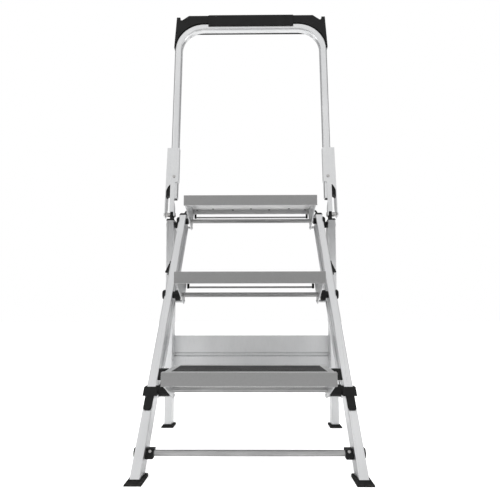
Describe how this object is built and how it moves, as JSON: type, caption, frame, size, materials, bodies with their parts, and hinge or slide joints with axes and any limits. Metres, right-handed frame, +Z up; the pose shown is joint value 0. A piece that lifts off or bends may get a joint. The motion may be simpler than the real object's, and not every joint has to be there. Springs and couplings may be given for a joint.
{
  "type": "platform step ladder",
  "caption": "Folding aluminium platform step ladder with hinged treads, a rear support frame and a fold-down U handrail with tool tray.",
  "frame": {"origin": "centre of the open ladder's footprint, on the floor", "axes": "+Z up, -Y the side the climber stands on, +X the climber's right"},
  "size_m": [0.601, 0.69, 1.4074],
  "materials": {
    "rail_aluminium": "satin drawn",
    "tread_aluminium": "matte brushed",
    "rod_aluminium": "satin",
    "pin_steel": "zinc plated",
    "black_plastic": "fine moulded grain",
    "foot_rubber": "matte",
    "tread_mat": "ribbed anti-slip"
  },
  "bodies": {
    "front_frame": {"front_foot_left": "foot_rubber", "front_foot_right": "foot_rubber", "front_rail_cap_left": "black_plastic", "front_rail_cap_right": "black_plastic", "front_rail_left": "rail_aluminium", "front_rail_right": "rail_aluminium", "lower_cross_rod": "rod_aluminium", "lower_rod_block_left": "black_plastic", "lower_rod_block_right": "black_plastic", "lower_rod_cap_left": "black_plastic", "lower_rod_cap_right": "black_plastic", "main_hinge_bolt_left": "pin_steel", "main_hinge_bolt_right": "pin_steel", "pivot_cap_2_left": "black_plastic", "pivot_cap_2_right": "black_plastic", "pivot_cap_3_left": "black_plastic", "pivot_cap_3_right": "black_plastic", "pivot_rod_1": "rod_aluminium", "pivot_rod_2": "rod_aluminium", "pivot_rod_3": "rod_aluminium", "rail_guide_left": "black_plastic", "rail_guide_right": "black_plastic", "step_bracket_1_left": "black_plastic", "step_bracket_1_right": "black_plastic", "step_bracket_2_left": "black_plastic", "step_bracket_2_right": "black_plastic", "step_bracket_3_left": "black_plastic", "step_bracket_3_right": "black_plastic", "step_rest_left": "black_plastic", "step_rest_right": "black_plastic"},
    "bottom_step": {"bottom_deck": "tread_aluminium", "bottom_mat": "tread_mat", "bottom_side_plate_left": "rail_aluminium", "bottom_side_plate_right": "rail_aluminium"},
    "middle_step": {"middle_deck": "tread_aluminium", "middle_mat": "tread_mat", "middle_side_plate_left": "rail_aluminium", "middle_side_plate_right": "rail_aluminium"},
    "platform": {"platform_deck": "tread_aluminium", "platform_mat": "tread_mat", "platform_side_plate_left": "rail_aluminium", "platform_side_plate_right": "rail_aluminium"},
    "tie_bars": {"tie_bar_left": "rail_aluminium", "tie_bar_right": "rail_aluminium"},
    "rear_frame": {"rear_foot_left": "foot_rubber", "rear_foot_right": "foot_rubber", "rear_panel": "rail_aluminium", "rear_rail_cap_left": "black_plastic", "rear_rail_cap_right": "black_plastic", "rear_rail_left": "rail_aluminium", "rear_rail_right": "rail_aluminium"},
    "handrail": {"bracket_block_left": "black_plastic", "bracket_block_right": "black_plastic", "handrail_bracket_left": "rail_aluminium", "handrail_bracket_right": "rail_aluminium", "handrail_pin_left": "pin_steel", "handrail_pin_right": "pin_steel", "handrail_tube": "rail_aluminium", "tool_tray": "black_plastic"}
  },
  "joints": [
    {"name": "rear_frame_fold", "type": "hinge", "parent": "front_frame", "child": "rear_frame", "pos_m": [0, 0.144, 0.659], "axis": [-1, 0, 0], "range_deg": [0, 47.8]},
    {"name": "bottom_step_fold", "type": "hinge", "parent": "front_frame", "child": "bottom_step", "pos_m": [0, -0.206, 0.186], "axis": [1, 0, 0], "range_deg": [0, 56.3]},
    {"name": "middle_step_fold", "type": "hinge", "parent": "front_frame", "child": "middle_step", "pos_m": [0, -0.046, 0.426], "axis": [1, 0, 0], "range_deg": [0, 56.3]},
    {"name": "platform_fold", "type": "hinge", "parent": "front_frame", "child": "platform", "pos_m": [0, 0.114, 0.666], "axis": [1, 0, 0], "range_deg": [0, 56.3]},
    {"name": "tie_bar_pivot", "type": "hinge", "parent": "platform", "child": "tie_bars", "pos_m": [0, 0.138, 0.649], "axis": [-1, 0, 0], "range_deg": [0, 56.3]},
    {"name": "handrail_fold", "type": "hinge", "parent": "rear_frame", "child": "handrail", "pos_m": [0, 0.1295, 0.69], "axis": [1, 0, 0], "range_deg": [0, 19.6]}
  ],
  "couplings": [
    {"joint": "bottom_step_fold", "follows": "rear_frame_fold", "ratio": 1.1773},
    {"joint": "middle_step_fold", "follows": "rear_frame_fold", "ratio": 1.1773},
    {"joint": "platform_fold", "follows": "rear_frame_fold", "ratio": 1.1773},
    {"joint": "tie_bar_pivot", "follows": "rear_frame_fold", "ratio": 1.1773},
    {"joint": "handrail_fold", "follows": "rear_frame_fold", "ratio": 0.4085}
  ]
}
